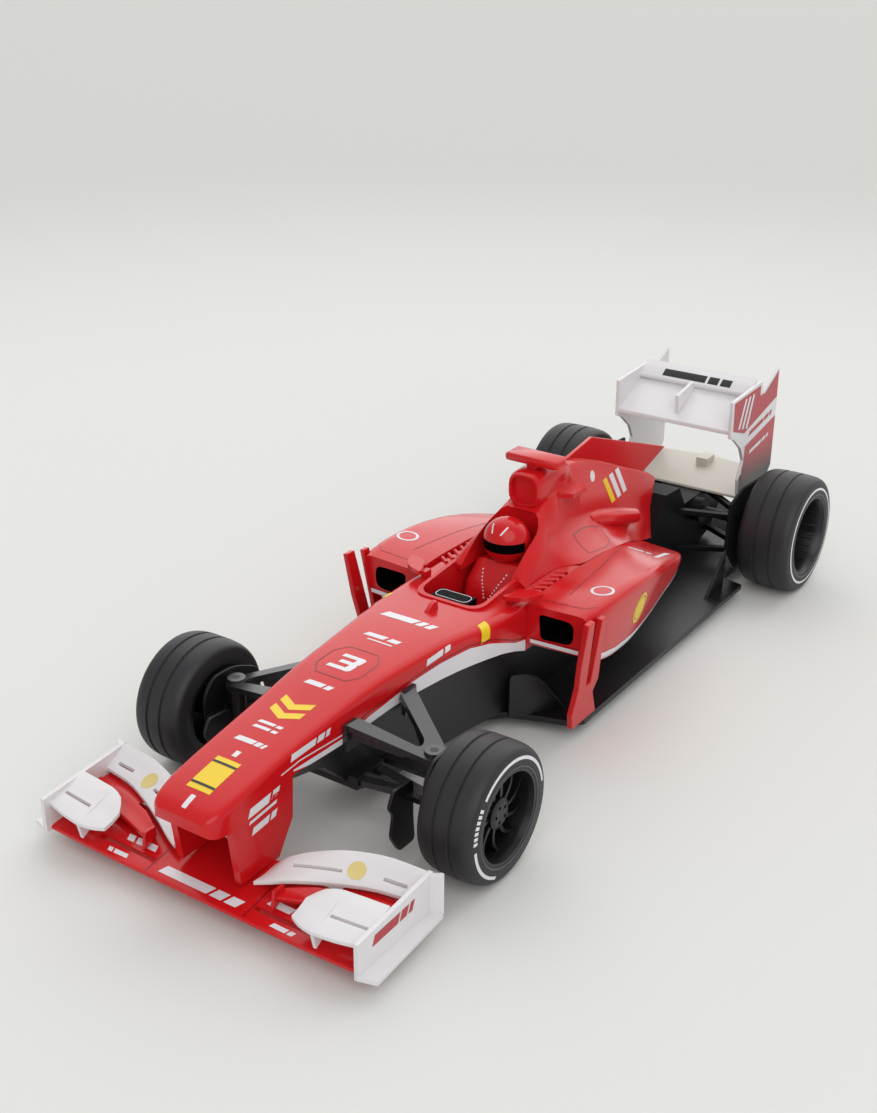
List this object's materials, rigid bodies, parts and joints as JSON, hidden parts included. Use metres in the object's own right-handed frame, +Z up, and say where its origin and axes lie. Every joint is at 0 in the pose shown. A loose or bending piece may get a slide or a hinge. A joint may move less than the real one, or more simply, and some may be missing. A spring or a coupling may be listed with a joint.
{
  "type": "toy open-wheel racing car",
  "caption": "Toy open-wheel racing car with moulded red shell, white wings, working front steering linkage and freely turning wheels",
  "frame": {"origin": "on the ground under the middle of the car", "axes": "X forward along the car, Y to its left, Z up"},
  "size_m": [0.398, 0.1506, 0.0962],
  "materials": {
    "red_shell": "gloss",
    "white_shell": "gloss",
    "black_plastic": "satin",
    "black_gloss": "gloss",
    "cream_plastic": "satin",
    "tyre": "matte"
  },
  "bodies": {
    "car": {"floor_tray": "black_plastic", "chassis_tub": "black_plastic", "battery_cover": "black_plastic", "nose_shell": "red_shell", "sidepod_left": "red_shell", "sidepod_right": "red_shell", "engine_cover": "red_shell", "camera_bar": "red_shell", "shark_fin": "red_shell", "helmet": "red_shell", "visor": "black_gloss", "driver_torso": "red_shell", "dash_panel": "black_gloss", "pod_post_left": "red_shell", "pod_post_right": "red_shell", "mirror_left": "red_shell", "mirror_right": "red_shell", "bargeboard_left": "black_plastic", "bargeboard_right": "black_plastic", "front_wing_main": "red_shell", "front_blade_left": "red_shell", "front_blade_right": "red_shell", "front_flap_left": "white_shell", "front_flap_right": "white_shell", "cascade_left": "white_shell", "cascade_right": "white_shell", "front_endplate_left": "white_shell", "front_endplate_right": "white_shell", "rear_wing_main": "white_shell", "rear_wing_flap": "white_shell", "rear_wing_pylon": "white_shell", "rear_endplate_left": "white_shell", "rear_endplate_right": "white_shell", "beam_wing": "cream_plastic", "gearbox": "black_plastic", "diffuser": "black_plastic", "rear_upper_arm_left": "black_plastic", "rear_upper_arm_right": "black_plastic", "rear_lower_arm_left": "black_plastic", "rear_lower_arm_right": "black_plastic", "rear_duct_left": "black_plastic", "rear_duct_right": "black_plastic", "upper_arm_left": "black_plastic", "upper_arm_right": "black_plastic", "lower_arm_left": "black_plastic", "lower_arm_right": "black_plastic"},
    "knuckle_left": {"knuckle_left": "black_plastic", "front_duct_left": "black_plastic"},
    "knuckle_right": {"knuckle_right": "black_plastic", "front_duct_right": "black_plastic"},
    "tie_bar": {"tie_bar": "black_plastic"},
    "wheel_front_left": {"front_tyre_left": "tyre", "front_rim_left": "black_plastic"},
    "wheel_front_right": {"front_tyre_right": "tyre", "front_rim_right": "black_plastic"},
    "wheel_rear_left": {"rear_tyre_left": "tyre", "rear_rim_left": "black_plastic"},
    "wheel_rear_right": {"rear_tyre_right": "tyre", "rear_rim_right": "black_plastic"}
  },
  "joints": [
    {"name": "steer_left", "type": "hinge", "parent": "car", "child": "knuckle_left", "pos_m": [0.121, 0.0445, 0.03], "axis": [0, 0, 1], "range_deg": [-18, 18]},
    {"name": "steer_right", "type": "hinge", "parent": "car", "child": "knuckle_right", "pos_m": [0.121, -0.0445, 0.03], "axis": [0, 0, 1], "range_deg": [-18, 18]},
    {"name": "tie_slide", "type": "slide", "parent": "car", "child": "tie_bar", "axis": [0, 1, 0], "range_m": [-0.0045, 0.0045]},
    {"name": "spin_front_left", "type": "hinge", "parent": "knuckle_left", "child": "wheel_front_left", "pos_m": [0.121, 0.064, 0.0252], "axis": [0, 1, 0], "continuous": true},
    {"name": "spin_front_right", "type": "hinge", "parent": "knuckle_right", "child": "wheel_front_right", "pos_m": [0.121, -0.064, 0.0252], "axis": [0, 1, 0], "continuous": true},
    {"name": "spin_rear_left", "type": "hinge", "parent": "car", "child": "wheel_rear_left", "pos_m": [-0.154, 0.0578, 0.0281], "axis": [0, 1, 0], "continuous": true},
    {"name": "spin_rear_right", "type": "hinge", "parent": "car", "child": "wheel_rear_right", "pos_m": [-0.154, -0.0578, 0.0281], "axis": [0, 1, 0], "continuous": true}
  ],
  "couplings": [
    {"joint": "steer_right", "follows": "steer_left", "ratio": 1},
    {"joint": "tie_slide", "follows": "steer_left", "m_per_rad": -0.0138}
  ]
}
